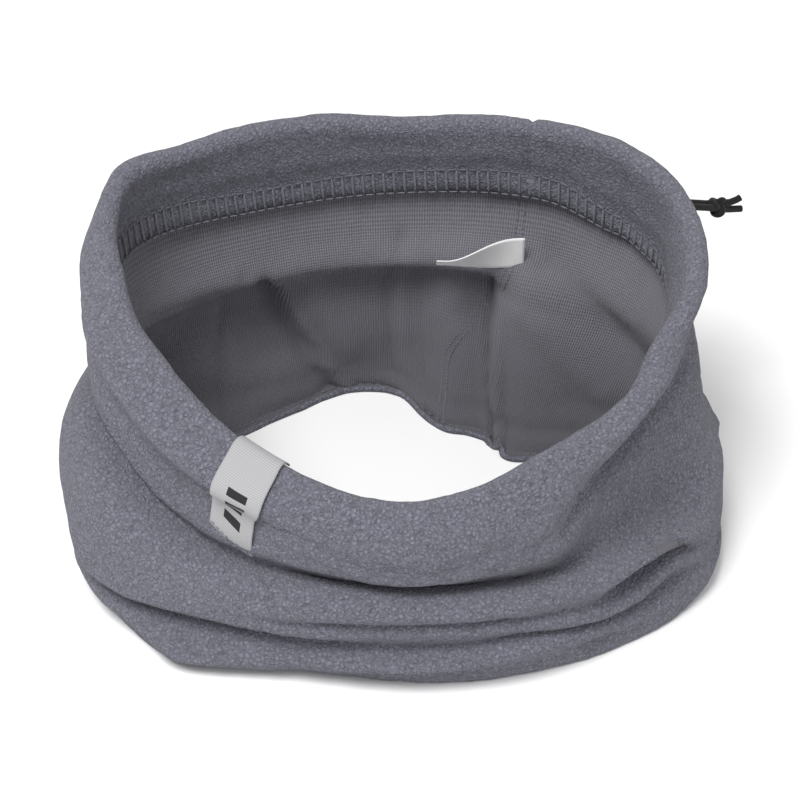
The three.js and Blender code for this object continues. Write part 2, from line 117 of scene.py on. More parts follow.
UNDER = [
    (0, -7.5, 54), (30, -3, 61), (60, -4, 62), (90, -7, 62), (120, -7, 62), (150, -2, 60),
    (180, -4.5, 60), (195, -5.5, 59.5), (210, -8, 53), (225, -8, 46), (240, -5.5, 44),
    (255, -3, 42.5), (270, -1.5, 39), (285, -2, 39.5), (297, -3.5, 40), (310, -12, 44),
    (320, -14, 46), (335, -13.5, 48), (350, -9.5, 51),
]
CREASE = [
    (0, -5, 44), (20, -7, 47), (40, -9, 48), (60, -12, 51), (80, -11, 51), (100, -10, 50),
    (120, -10, 49), (150, -5, 48), (180, -6.5, 51), (190, -7, 54), (200, -9, 51),
    (213, -9.5, 44.5), (220, -9.5, 40.5), (233, -9, 35), (243, -7.5, 33), (253, -7.5, 33),
    (270, -7.5, 31.5), (287, -7.5, 30.5), (296, -8, 29.5), (306, -8, 30.5), (319, -11, 31),
    (326, -11, 31), (332, -10.5, 30), (342, -6, 32), (350, -4, 38),
]
SHOULDER = [
    (0, -2, 38), (20, -5, 40), (40, -8, 41), (56, -14, 43), (66, -13, 44), (70, -6, 46),
    (78, -6, 47), (86, -4, 48), (100, -4, 48), (112, -5, 47), (117, -1, 47), (130, -2, 46),
    (150, -1, 46), (180, -1, 50), (190, -0.5, 53), (200, -0.5, 51), (213, 0, 45),
    (220, 0, 41.5), (233, 0, 36), (243, -0.5, 34.2), (253, -1, 34.3), (270, -1.5, 32.8),
    (287, -1.5, 31.8), (296, -1.5, 30.8), (306, -1, 31), (319, -3, 29), (332, -2.5, 27.5),
    (342, -1.5, 28), (350, -1.5, 33),
]
BULGE = [
    (0, 1, 26), (20, -4, 26), (40, -12, 27), (56, -19, 28), (66, -18, 28), (70, -11, 28),
    (78, -11, 28), (84, -6, 28), (92, -3, 28), (107, -4, 28), (113, 1, 28), (130, 1, 29),
    (150, 3, 31), (180, 4.5, 31), (195, 7, 29), (210, 9, 26), (225, 7, 25), (240, 4.5, 25),
    (255, 3.5, 27), (270, 3, 28), (285, 3, 28), (300, 3, 28.2), (310, 3, 28.8), (320, 3, 29),
    (327, 3, 26.5), (335, 2.5, 23.5), (343, 2, 22.5), (352, 1.5, 24),
]
HOLLOW = [
    (0, 1, 20), (20, -6, 20), (40, -14, 20), (56, -22, 21), (66, -21, 21), (70, -15, 21),
    (78, -15, 21), (84, -9, 21), (92, -5, 22), (104, -6, 22), (110, -1, 22), (130, -1, 22),
    (150, 3, 23), (180, 5, 23), (195, 6.5, 22), (210, 10, 20), (225, 7.5, 20.5), (240, 4.5, 22),
    (260, 0, 24), (285, -0.5, 23.5), (298, 0, 22), (306, -1, 20.5), (314, -6.5, 23),
    (325, -4, 24), (332, 1, 20), (340, 2, 18),
]
LEDGE = [
    (0, 1, 16), (20, -7, 15), (40, -16, 15), (56, -25, 15), (66, -24, 15), (70, -19, 15),
    (78, -19, 15), (84, -12, 15.5), (92, -6, 16.5), (102, -7, 16.5), (108, -3, 17),
    (130, -4, 17), (150, 2, 18), (180, 5, 18), (195, 5.5, 17), (213, 10, 16), (235, 5, 18.5),
    (250, 3.5, 19.5), (268, 1.5, 20.5), (285, 2, 20.5), (298, 3, 18), (306, 3.5, 16),
    (314, 3.5, 17), (325, 3.5, 21), (332, 3, 16), (340, 3, 13),
]
TUCK = [
    (0, 0, 11), (20, -9, 10), (40, -19, 10), (56, -28, 9), (66, -26, 9), (70, -22, 9),
    (78, -22, 9), (84, -15, 10), (92, -7, 11), (102, -6, 11), (120, -8, 12), (150, 0, 13),
    (180, 2, 13), (195, 5, 13), (205, 7.5, 12.5), (218, 2, 13.5), (225, 0, 14),
    (234, -2, 15.5), (244, -3, 16.5), (253, -3.5, 15.5), (270, -3.5, 14.5), (280, -2.5, 14.5),
    (288, -1.5, 16.5), (296, -1, 16.5), (305, -2, 13.5), (315, -1.5, 13.5), (325, -1, 15),
    (335, 3.5, 10), (345, 2, 10),
]
FOOT = [
    (0, -1, 7), (20, -11, 6.5), (40, -21, 6), (56, -30, 5.5), (66, -27, 5.5), (70, -24, 5.5),
    (78, -24.5, 5.5), (84, -18, 6), (92, -8, 7), (102, -6, 7), (120, -10, 7), (150, -3, 7.5),
    (180, -1, 7.5), (195, 5, 7.5), (212, 8.5, 8), (224, 8.5, 7), (233, 11, 6.5),
    (246, 4.5, 7.5), (256, 2.5, 8.5), (270, 4, 10), (290, 5, 12), (298, 4, 12), (310, 2.5, 9.5),
    (325, 4, 8), (335, 5.5, 7), (345, 4, 7),
]
NIP = [
    (0, -4, 4), (20, -14, 4), (40, -25, 3.8), (56, -33, 3.5), (66, -28.5, 3.5), (70, -27, 3.5),
    (78, -27, 3.5), (84, -20.5, 3.8), (92, -9, 4), (102, -6.5, 4), (120, -12.5, 4.2),
    (150, -9, 4.5), (180, -6, 4.5), (195, 1, 4.5), (210, 6.5, 4.5), (225, 6.5, 4),
    (232, 9.5, 4), (246, 3, 4.5), (255, -0.5, 5.5), (270, 0, 7.5), (290, 1.5, 8),
    (298, 1.5, 8.5), (306, 0, 7.5), (316, 2, 5.5), (335, 5, 4.5), (345, 2.5, 4.5),
]
SOLE = [
    (0, -9, 0), (15, -13, 0), (30, -22, 0), (45, -31, 0), (56, -37, 0), (66, -31, 0),
    (70, -29.5, 0), (78, -29, 0), (84, -22, 0), (90, -10.5, 0), (102, -7, 0), (114, -13, 0),
    (131, -17, 0), (150, -14, 0), (180, -11, 0), (195, -5, 0), (210, 2, 0), (231, 6.5, 0),
    (242, 0.5, 0), (254, -4.5, 0), (275, -2, 0), (297, 0, 0), (335, 3, 0), (345, -2, 0),
]
LIP = [
    (0, -13, 0), (15, -17, 0), (30, -26, 0), (45, -35, 0), (56, -41, 0), (66, -34.5, 0),
    (72, -33, 0), (78, -32.5, 0), (84, -26, 0), (90, -14, 0), (100, -10.5, 0), (107, -13, 0),
    (114, -17, 0), (131, -21, 0), (150, -18, 0), (180, -15, 0), (200, -9, 0), (214, -5, 0),
    (232, -3, 0), (246, -8, 0), (270, -10, 0), (300, -8, 0), (335, -6, 0),
]
FOLDS = [RIM, BAND, HEM, UNDER, CREASE, SHOULDER, BULGE, HOLLOW, LEDGE, TUCK, FOOT, NIP,
         SOLE, LIP]
FOLD_STEPS = [10, 9, 6, 8, 3, 8, 5, 5, 4, 6, 4, 4, 6]   # rows from each fold to the next
TURN_STEPS = 8
HEM_ROWS = 21                           # rows of the wall that the turned hem covers
HEM_LINE = TURN_STEPS + HEM_ROWS + FOLD_STEPS[0] + FOLD_STEPS[1]
# Small folds in the wall: degrees and row at each end, half width in mm, and how far out in mm.
DENTS = [
    (116, 64, 110, 74, 2.2, -2.6), (110, 74, 106, 84, 2.2, -2.6), (106, 84, 101, 100, 2, -2),
    (120, 62, 114, 74, 3, 3.4), (114, 74, 106, 99, 2.8, 2.6), (125, 60, 132, 95, 2.5, 1.4),
    (90, 56, 90, 57, 2.4, 1.8), (93, 68, 91, 92, 1.4, 1.1), (90, 66, 88, 90, 1.3, -1),
    (86, 66, 84, 88, 1.4, 1), (71, 64, 70, 76, 1.3, 2.4), (70, 76, 63, 107, 1.3, 2.4),
    (68, 64, 67, 76, 1.9, -2), (67, 76, 60, 107, 1.9, -2.2), (61, 65, 38, 78, 5.5, -2.4),
    (58, 58, 30, 70, 5, 3.4), (300, 44, 284, 51, 1.8, 1), (306, 48, 290, 54, 1.6, -0.9),
    (252, 50, 262, 53, 1.6, 0.8), (SEAM_ANGLE, 3, SEAM_ANGLE, 46, 1.1, -1.1),
    (0, 52, 6, 66, 2, -1.4), (354, 50, 2, 68, 2, 1.4),
]


def closed_line(keys, degrees):
    """Distance out and height of a fold at each of an array of angles."""
    keys = np.array(keys, float)
    lap = np.concatenate([keys[-2:] - [360, 0, 0], keys, keys[:3] + [360, 0, 0]])
    turn = np.mod(degrees, 360)
    i = np.clip(np.searchsorted(lap[:, 0], turn, side="right") - 1, 1, len(lap) - 3)
    before, low, high, after = (lap[i + k] for k in (-1, 0, 1, 2))
    span = high[:, :1] - low[:, :1]
    f = (turn[:, None] - low[:, :1]) / span
    pull = (high - before) / (high[:, :1] - before[:, :1]) * span
    push = (after - low) / (after[:, :1] - low[:, :1]) * span
    rise = high - low
    value = low + f * (pull + f * (3 * rise - 2 * pull - push + f * (pull + push - 2 * rise)))
    return value[:, 1:]


def between(points, steps):
    """Rows along a smooth line through the folds; points is folds x angles x 2."""
    gaps = np.linalg.norm(np.diff(points, axis=0), axis=2)[..., None] + 1e-6
    slope = np.diff(points, axis=0) / gaps
    inner = (slope[:-1] * gaps[1:] + slope[1:] * gaps[:-1]) / (gaps[1:] + gaps[:-1])
    tangent = np.concatenate([slope[:1], inner, slope[-1:]])
    rows = [points[0]]
    for i, count in enumerate(steps):
        pull, push, rise = tangent[i] * gaps[i], tangent[i + 1] * gaps[i], points[i + 1] - points[i]
        for k in range(1, count + 1):
            f = k / count
            rows.append(points[i] + f * (pull + f * (
                3 * rise - 2 * pull - push + f * (pull + push - 2 * rise))))
    return np.array(rows)


def pile_side(rows):
    """Directions out of the pile, square to each row's run."""
    run = np.gradient(rows, axis=0)
    run /= np.linalg.norm(run, axis=2)[..., None]
    return np.stack([-run[..., 1], run[..., 0]], axis=2)


def smooth(value, low, high):
    f = np.clip((value - low) / (high - low), 0, 1)
    return f * f * (3 - 2 * f)


def fleece_sections(degrees):
    """The fleece's middle and pile side as rows x angles x 2: up the hem, over, and down."""
    keys = np.array([closed_line(fold, degrees) for fold in FOLDS])
    keys[0] += [TURN_RADIUS, -TURN_RADIUS]
    wall = between(keys - pile_side(keys) * SKIN, FOLD_STEPS)
    for _ in range(2):
        wall[1:-1] = (wall[:-2] + 2 * wall[1:-1] + wall[2:]) / 4
    side = pile_side(wall)
    hem = []
    for i in range(HEM_ROWS, -1, -1):
        shut = smooth(i, 12, 19)
        hem.append(wall[i] - side[i] * (2 * TURN_RADIUS * (1 - shut) + (2 * SKIN + 1.0) * shut))
    centre = wall[0] - side[0] * TURN_RADIUS
    upright = np.stack([-side[0][:, 1], side[0][:, 0]], axis=1)
    turn = [
        centre + TURN_RADIUS * (side[0] * math.cos(a) + upright * math.sin(a))
        for a in (math.pi * k / TURN_STEPS for k in range(TURN_STEPS - 1, 0, -1))
    ]
    rows = np.concatenate([hem, turn, wall])
    return rows, pile_side(rows)


def dents(degrees, stations):
    """How far the small folds push the wall out, in mm."""
    x, y = np.mod(degrees, 360) * 1.55, np.asarray(stations, float) * 1.35
    rise, fall = np.zeros(len(x)), np.zeros(len(x))
    for turn, row, turn_end, row_end, width, depth in DENTS:
        start = np.array([turn * 1.55, row * 1.35])
        run = np.array([turn_end * 1.55, row_end * 1.35]) - start
        part = np.clip(((x - start[0]) * run[0] + (y - start[1]) * run[1]) / (run @ run), 0, 1)
        away = np.hypot(x - start[0] - part * run[0], y - start[1] - part * run[1])
        push = depth * np.exp(-(away / width) ** 2)
        rise, fall = np.maximum(rise, push), np.minimum(fall, push)
    groove = np.exp(-((stations - HEM_LINE + 1.2) / 0.8) ** 2)
    groove += np.exp(-((stations - HEM_LINE - 1.2) / 0.8) ** 2)
    a = np.radians(degrees)
    waves = np.sin(78 * a + 2 * np.sin(9 * a)) * np.exp(-((stations - HEM_LINE) / 5) ** 2)
    return rise + fall - 0.6 * groove + 0.2 * waves


def on_fleece(degrees, stations, lift):
    """Points in metres at matching arrays of angles, row numbers and mm above the pile face."""
    rows, side = fleece_sections(degrees)
    low = np.clip(np.floor(stations).astype(int), 0, len(rows) - 2)
    part = (stations - low)[:, None]
    which = np.arange(len(degrees))
    middle = rows[low, which] * (1 - part) + rows[low + 1, which] * part
    out = side[low, which] * (1 - part) + side[low + 1, which] * part
    height = np.asarray(lift) + SKIN + dents(degrees, stations)
    flat = middle + out / np.linalg.norm(out, axis=1)[:, None] * height[:, None]
    a = np.radians(degrees)
    face = np.stack([HALF_DEPTH * np.cos(a), HALF_WIDTH * np.sin(a)], axis=1)
    face /= np.linalg.norm(face, axis=1)[:, None]
    plan = np.stack([HALF_WIDTH * np.cos(a), HALF_DEPTH * np.sin(a)], axis=1) + face * flat[:, :1]
    return (np.concatenate([plan, flat[:, 1:]], axis=1) + np.array(MIDDLE)) * MM


def new_piece(name, bm, material, body="gaiter"):
    """A mesh object from a bmesh, shaded smooth and riding on a body."""
    mesh = bpy.data.meshes.new(name)
    bm.to_mesh(mesh)
    bm.free()
    mesh.shade_smooth()
    for one in material if isinstance(material, (list, tuple)) else [material]:
        mesh.materials.append(one)
    piece = bpy.data.objects.new(name, mesh)
    bpy.context.scene.collection.objects.link(piece)
    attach(piece, body)
    return piece


# Materials

def shader_group(name, inputs, outputs):
    """An empty node group, and its input and output nodes."""
    group = bpy.data.node_groups.new(name, "ShaderNodeTree")
    for label, kind, value in inputs:
        socket = group.interface.new_socket(label, in_out="INPUT", socket_type=kind)
        if value is not None:
            socket.default_value = value
    for label, kind in outputs:
        group.interface.new_socket(label, in_out="OUTPUT", socket_type=kind)
    return group, group.nodes.new("NodeGroupInput"), group.nodes.new("NodeGroupOutput")


def add_node(tree, kind, settings=None, **inputs):
    """A node with its settings; each input is a value or a socket to link from."""
    made = tree.nodes.new(kind)
    for key, value in (settings or {}).items():
        setattr(made, key, value)
    for key, value in inputs.items():
        socket = made.inputs[int(key[1:]) if key[1:].isdigit() else key.replace("_", " ")]
        if isinstance(value, bpy.types.NodeSocket):
            tree.links.new(value, socket)
        else:
            socket.default_value = value
    return made


def maths(tree, operation, first, second=0.0):
    made = add_node(tree, "ShaderNodeMath", {"operation": operation}, i0=first, i1=second)
    return made.outputs[0]


def tone_group():
    """Two colours mixed by a mask, with slow drifts of tone over the cloth."""
    group, given, result = shader_group("Cloth Tone", [
        ("Light", "NodeSocketColor", None), ("Dark", "NodeSocketColor", None),
        ("Mask", "NodeSocketFloat", 0.5), ("Drift Size", "NodeSocketFloat", 25.0),
        ("Drift", "NodeSocketFloat", 0.12),
    ], [("Color", "NodeSocketColor")])
    place = add_node(group, "ShaderNodeTexCoord").outputs["Object"]
    drift = add_node(group, "ShaderNodeTexNoise", Vector=place, Scale=given.outputs["Drift Size"],
                     Detail=3.0).outputs[0]
    swing = maths(group, "MULTIPLY", maths(group, "SUBTRACT", drift, 0.5), given.outputs["Drift"])
    level = maths(group, "ADD", given.outputs["Mask"], swing)
    mix = add_node(group, "ShaderNodeMix", {"data_type": "RGBA"}, i0=level,
                   i6=given.outputs["Dark"], i7=given.outputs["Light"])
    group.links.new(mix.outputs[2], result.inputs["Color"])
    return group


def pile_group():
    """Brushed fleece: soft pebbles with fine fibres over them."""
    group, given, result = shader_group("Fleece Pile", [
        ("Pebble Size", "NodeSocketFloat", 780.0), ("Fibre Size", "NodeSocketFloat", 2600.0),
    ], [("Height", "NodeSocketFloat"), ("Mask", "NodeSocketFloat")])
    place = add_node(group, "ShaderNodeTexCoord").outputs["Object"]
    bend = add_node(group, "ShaderNodeTexNoise", Vector=place, Scale=900.0, Detail=2.0)
    shift = add_node(group, "ShaderNodeVectorMath", {"operation": "MULTIPLY_ADD"},
                     i0=bend.outputs["Color"], i1=(0.0012, 0.0012, 0.0012), i2=place).outputs[0]
    edge = add_node(group, "ShaderNodeTexVoronoi", {"feature": "DISTANCE_TO_EDGE"}, Vector=shift,
                    Scale=given.outputs["Pebble Size"]).outputs["Distance"]
    pebble = add_node(group, "ShaderNodeMapRange", {"interpolation_type": "SMOOTHSTEP"},
                      Value=edge, From_Max=0.32).outputs[0]
    curl = add_node(group, "ShaderNodeTexNoise", Vector=place, Scale=given.outputs["Pebble Size"],
                    Detail=3.0, Roughness=0.6, Distortion=0.6).outputs[0]
    fibre = add_node(group, "ShaderNodeTexNoise", Vector=place, Scale=given.outputs["Fibre Size"],
                     Detail=2.0).outputs[0]
    body = maths(group, "ADD", maths(group, "MULTIPLY", curl, 1.1),
                 maths(group, "MULTIPLY", pebble, 0.35))
    height = maths(group, "ADD", body, maths(group, "MULTIPLY", fibre, 0.3))
    group.links.new(height, result.inputs["Height"])
    spread = add_node(group, "ShaderNodeMapRange", Value=height, From_Min=0.45, From_Max=1.2)
    group.links.new(spread.outputs[0], result.inputs["Mask"])
    return group


def cloth_material(name, colours, roughness, sheen, bump, pattern):
    """A cloth finish; pattern(tree) gives its height and mask sockets."""
    made = bpy.data.materials.new(name)
    made.use_nodes = True
    tree = made.node_tree
    shader = tree.nodes["Principled BSDF"]
    shader.inputs["Roughness"].default_value = roughness
    shader.inputs["Specular IOR Level"].default_value = 0.2
    shader.inputs["Sheen Weight"].default_value = sheen
    shader.inputs["Sheen Roughness"].default_value = 0.6
    height, mask = pattern(tree)
    tone = add_node(tree, "ShaderNodeGroup", {"node_tree": bpy.data.node_groups["Cloth Tone"]},
                    Light=colours[0], Dark=colours[1], Mask=mask)
    tree.links.new(tone.outputs["Color"], shader.inputs["Base Color"])
    relief = add_node(tree, "ShaderNodeBump", Strength=bump[0], Distance=bump[1], Height=height)
    tree.links.new(relief.outputs["Normal"], shader.inputs["Normal"])
    return made


def pile_pattern(tree):
    grain = add_node(tree, "ShaderNodeGroup", {"node_tree": bpy.data.node_groups["Fleece Pile"]})
    return grain.outputs["Height"], grain.outputs["Mask"]


def rib_pattern(rib, course, painted_shade_span=None):
    """Fine ribs along the cloth with rows across them; both are spacings in metres.

    Painted shade: the tone deepens down the cloth between the two distances of the third argument,
    standing in for the shade low inside the tube."""
    def pattern(tree):
        place = add_node(tree, "ShaderNodeUVMap").outputs["UV"]
        ribs = add_node(tree, "ShaderNodeTexWave", {"bands_direction": "X"}, Vector=place,
                        Scale=math.pi / 10 / rib, Distortion=0.6, Detail_Scale=0.6).outputs["Fac"]
        rows = add_node(tree, "ShaderNodeTexWave", {"bands_direction": "Y"}, Vector=place,
                        Scale=math.pi / 10 / course, Distortion=0.4).outputs["Fac"]
        lint = add_node(tree, "ShaderNodeTexNoise", Vector=place, Scale=1900.0,
                        Detail=3.0).outputs[0]
        weave = maths(tree, "ADD", ribs, maths(tree, "MULTIPLY", rows, 0.45))
        height = maths(tree, "ADD", weave, maths(tree, "MULTIPLY", lint, 0.7))
        mask = maths(tree, "MULTIPLY", height, 0.5)
        # Painted shade: the tone darkens towards the bottom of the cloth, where the inside of the
        # tube lies in shade.
        if painted_shade_span:
            down = add_node(tree, "ShaderNodeSeparateXYZ", Vector=place).outputs["Y"]
            painted_shade = add_node(tree, "ShaderNodeMapRange", {"interpolation_type": "SMOOTHSTEP"},
                            Value=down, From_Min=painted_shade_span[0], From_Max=painted_shade_span[1], To_Min=1.0,
                            To_Max=0.3).outputs[0]
            mask = maths(tree, "MULTIPLY", mask, painted_shade)
        return height, mask
    return pattern


def plain_material(name, colour, roughness, metallic=0.0, grain=900.0, relief=0.00003):
    """Moulded or metal finish with a fine, uneven surface."""
    made = bpy.data.materials.new(name)
    made.use_nodes = True
    tree = made.node_tree
    shader = tree.nodes["Principled BSDF"]
    shader.inputs["Metallic"].default_value = metallic
    place = add_node(tree, "ShaderNodeTexCoord").outputs["Object"]
    fine = add_node(tree, "ShaderNodeTexNoise", Vector=place, Scale=grain, Detail=3.0).outputs[0]
    dark = [0.6 * part for part in colour[:3]] + [1.0]
    mix = add_node(tree, "ShaderNodeMix", {"data_type": "RGBA"}, i0=fine, i6=dark, i7=colour)
    tree.links.new(mix.outputs[2], shader.inputs["Base Color"])
    gloss = add_node(tree, "ShaderNodeMapRange", Value=fine, To_Min=roughness - 0.08,
                     To_Max=roughness + 0.08)
    tree.links.new(gloss.outputs[0], shader.inputs["Roughness"])
    bump = add_node(tree, "ShaderNodeBump", Strength=0.5, Distance=relief, Height=fine)
    tree.links.new(bump.outputs["Normal"], shader.inputs["Normal"])
    return made


def braid_pattern(tree):
    place = add_node(tree, "ShaderNodeTexCoord").outputs["Object"]
    strand = add_node(tree, "ShaderNodeTexVoronoi", Vector=place, Scale=1500.0).outputs["Distance"]
    return strand, strand


def motif_pattern(tree):
    """Light weave with a row of plain dark bars along its middle."""
    place = add_node(tree, "ShaderNodeUVMap").outputs["UV"]
    parts = add_node(tree, "ShaderNodeSeparateXYZ", Vector=place).outputs
    across, down = parts["X"], parts["Y"]

    def within(value, middle, reach):
        """1 where the value is nearer to the middle than the reach, and 0 elsewhere."""
        away = maths(tree, "ABSOLUTE", maths(tree, "SUBTRACT", value, middle))
        return maths(tree, "LESS_THAN", away, reach)

    repeat = maths(tree, "FRACT", maths(tree, "MULTIPLY", down, 9.0))
    bars = maths(tree, "GREATER_THAN", repeat, 0.5)
    band = within(across, 0.52, 0.2)
    run = within(down, 0.62, 0.28)
    dark = maths(tree, "MULTIPLY", bars, maths(tree, "MULTIPLY", band, run))
    weave = add_node(tree, "ShaderNodeTexWave", {"bands_direction": "Y"}, Vector=place,
                     Scale=22.0, Distortion=0.5).outputs["Fac"]
    light = maths(tree, "ADD", maths(tree, "MULTIPLY", weave, 0.25), 0.7)
    return weave, maths(tree, "MULTIPLY", light, maths(tree, "SUBTRACT", 1.0, dark))


def rgba(colour):
    return (*colour, 1.0)


def make_materials(finish):
    tone_group()
    pile_group()
    pile = Vector(finish.pile_colour)
    knit = Vector(finish.knit_colour)
    thread = Vector(finish.thread_colour)
    cord = Vector(finish.cord_colour)
    cloth_material("pile", (rgba(pile * 1.3), rgba(pile * 0.45)), 0.95, 0.12, (1.0, 0.0009),
                   pile_pattern)
    # Knit: fine ribs, with painted shade darkening it between 70 and 105 mm along the cloth.
    cloth_material("knit", (rgba(knit * 1.35), rgba(knit * 0.42)), 0.9, 0.1, (0.8, 0.0003),
                   rib_pattern(0.00075, 0.0006, (0.07, 0.105)))
    cloth_material("thread", (rgba(thread * 1.3), rgba(thread * 0.6)), 0.8, 0.1, (0.5, 0.0001),
                   braid_pattern)
    cloth_material("cord", (rgba(cord * 1.6), rgba(cord * 0.5)), 0.75, 0.1, (0.8, 0.0002),
                   braid_pattern)
    cloth_material("satin", (rgba((0.9, 0.9, 0.9)), rgba((0.75, 0.75, 0.76))), 0.45, 0.0,
                   (0.3, 0.00005), rib_pattern(0.0004, 0.0003))
    cloth_material("woven", (rgba((0.42, 0.42, 0.43)), rgba((0.02, 0.02, 0.022))), 0.85, 0.0,
                   (0.5, 0.0001), motif_pattern)
    plain_material("plastic", rgba((0.012, 0.012, 0.013)), 0.45)
    plain_material("steel", rgba((0.45, 0.46, 0.48)), 0.3, 1.0, 400.0)


# Cloth

def cloth_grid(bm, columns, stations, degrees, lift, scale, skew=lambda u, row: 0 * u):
    """Fills a bmesh with a grid that follows the fleece.

    stations are row numbers; degrees, lift and skew take the grid's share across and row,
    and skew adds to the row numbers; scale is the UV size."""
    count = len(stations)
    uv = bm.loops.layers.uv.verify()
    bmesh.ops.create_grid(bm, x_segments=columns, y_segments=count - 1, size=0.5, calc_uvs=True)
    bm.verts.ensure_lookup_table()
    place = np.array([v.co[:2] for v in bm.verts]) + 0.5
    row = np.rint(place[:, 1] * (count - 1)).astype(int)
    across = place[:, 0]
    points = on_fleece(degrees(across, row), np.asarray(stations)[row] + skew(across, row),
                       lift(across, row))
    for vert, point in zip(bm.verts, points):
        vert.co = point
    for face in bm.faces:
        for loop in face.loops:
            loop[uv].uv = (loop[uv].uv[0] * scale[0], loop[uv].uv[1] * scale[1])


def lumps(points):
    """How far the soft cloth swells at each point, in mm."""
    return [0.4 * noise.noise(p * 70) + 0.25 * noise.noise(p * 190) + 0.12 * noise.noise(p * 520)
            for p in points]


class GaiterSizes(bpy.types.PropertyGroup):
    tube_girth: FloatProperty(
        name="Tube girth", description="Distance round the fleece tube",
        default=0.54, unit="LENGTH")
    pile_colour: FloatVectorProperty(
        name="Pile colour", description="Colour of the brushed face of the fleece",
        subtype="COLOR", default=(0.158, 0.158, 0.197))
    knit_colour: FloatVectorProperty(
        name="Knit colour", description="Colour of the smooth inner face of the fleece",
        subtype="COLOR", default=(0.18, 0.178, 0.204))
    thread_colour: FloatVectorProperty(
        name="Thread colour", description="Colour of the sewing thread",
        subtype="COLOR", default=(0.14, 0.14, 0.165))
    cord_colour: FloatVectorProperty(
        name="Cord colour", description="Colour of the drawcord",
        subtype="COLOR", default=(0.004, 0.004, 0.0045))
    thread_width: FloatProperty(
        name="Thread width", description="Width of the sewing thread as stitched",
        default=0.0005, unit="LENGTH")


class GAITER_OT_stage(bpy.types.Operator):
    """Make the floor, the lights and the camera"""
    bl_idname = "gaiter.stage"
    bl_label = "Stage"

    def execute(self, context):
        scene = context.scene
        bm = bmesh.new()
        bmesh.ops.create_grid(bm, x_segments=1, y_segments=1, size=3.0)
        bmesh.ops.translate(bm, verts=bm.verts, vec=(0, 0, -0.0002))
        mesh = bpy.data.meshes.new("floor")
        bm.to_mesh(mesh)
        bm.free()
        paper = bpy.data.materials.new("paper")
        paper.use_nodes = True
        paper.node_tree.nodes["Principled BSDF"].inputs["Base Color"].default_value = (
            0.92, 0.92, 0.92, 1)
        paper.node_tree.nodes["Principled BSDF"].inputs["Roughness"].default_value = 0.9
        mesh.materials.append(paper)
        floor = bpy.data.objects.new("floor", mesh)
        scene.collection.objects.link(floor)
        world = bpy.data.worlds.new("studio")
        world.use_nodes = True
        world.node_tree.nodes["Background"].inputs["Color"].default_value = (1, 1, 1, 1)
        world.node_tree.nodes["Background"].inputs["Strength"].default_value = 0.55
        scene.world = world
        target = MIDDLE * MM + Vector((0, 0, 0.045))
        for name, place, size, watts in (
                ("key", (-0.5, -0.75, 1.7), 0.8, 34), ("fill", (0.9, -1.0, 0.9), 1.5, 4)):
            lamp = bpy.data.lights.new(name, "AREA")
            lamp.size = size
            lamp.energy = watts
            holder = bpy.data.objects.new(name, lamp)
            holder.location = place
            holder.rotation_euler = (target - Vector(place)).to_track_quat("-Z", "Y").to_euler()
            scene.collection.objects.link(holder)
        lens = bpy.data.cameras.new("camera")
        lens.lens = 100
        lens.sensor_width = 36
        camera = bpy.data.objects.new("camera", lens)
        rise = math.radians(36)
        camera.location = target + 0.668 * Vector((0, -math.cos(rise), math.sin(rise)))
        camera.rotation_euler = (math.pi / 2 - rise, 0, 0)
        scene.collection.objects.link(camera)
        scene.camera = camera
        scene.view_settings.view_transform = "Standard"
        return {"FINISHED"}


# Small pieces

def run_points(tail, side):
    """One cord end's points in metres, side mm to one side of the run."""
    return [
        (EYELET + EYELET_OUT * out + EYELET_ALONG * along + Vector((0, 0, up))
         + RUN_SIDE * (side if tail_part == 0 else 0)) * MM
        for tail_part, points in enumerate((CORD_RUN, tail)) for out, along, up in points
    ]


def new_cord(name, points, closed=False):
    """A round cord along points in metres."""
    line = bpy.data.curves.new(name, "CURVE")
    line.dimensions = "3D"
    line.bevel_depth = CORD_RADIUS * MM
    line.bevel_resolution = 4
    line.use_fill_caps = not closed
    spline = line.splines.new("POLY")
    spline.points.add(len(points) - 1)
    for point, place in zip(spline.points, points):
        point.co = (*place, 1)
    spline.use_cyclic_u = closed
    spline.use_smooth = True
    line.materials.append(bpy.data.materials["cord"])
    piece = bpy.data.objects.new(name, line)
    bpy.context.scene.collection.objects.link(piece)
    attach(piece, "gaiter")
    return piece


def standing(axis, place):
    """A matrix that turns +Z to an axis and moves to a place given in mm."""
    turn = axis.to_track_quat("Z", "Y").to_matrix().to_4x4()
    return Matrix.Translation(place * MM) @ turn @ Matrix.Scale(MM, 4)


def add_stitches(bm, starts, ends, thick):
    """Rounded stitches between matching arrays of points in metres."""
    one = bmesh.new()
    bmesh.ops.create_uvsphere(one, u_segments=6, v_segments=4, radius=1)
    shape = bpy.data.meshes.new("stitch")
    one.to_mesh(shape)
    one.free()
    for start, end in zip(map(Vector, starts), map(Vector, ends)):
        along = end - start
        size = Matrix.Diagonal((thick, thick, along.length / 2 + thick * 0.6, 1))
        turn = along.to_track_quat("Z", "Y").to_matrix().to_4x4()
        place = Matrix.Translation((start + end) / 2) @ turn @ size
        bm.from_mesh(shape)
        bm.verts.ensure_lookup_table()
        for vert in bm.verts[-len(shape.vertices):]:
            vert.co = place @ vert.co
    bpy.data.meshes.remove(shape)


def stitch_row(bm, degrees, station, lift, share, thick):
    """Stitches in a row round the tube, each share of the spacing long."""
    step = np.append(np.diff(degrees), degrees[-1] - degrees[-2])
    station = np.broadcast_to(np.asarray(station, float), degrees.shape)
    add_stitches(bm, on_fleece(degrees, station, np.full(len(degrees), lift)),
                 on_fleece(degrees + step * share, station, np.full(len(degrees), lift)), thick)


def new_thread(name, bm, node):
    piece = new_piece(name, bm, bpy.data.materials["thread"])
    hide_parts(node)
    return piece


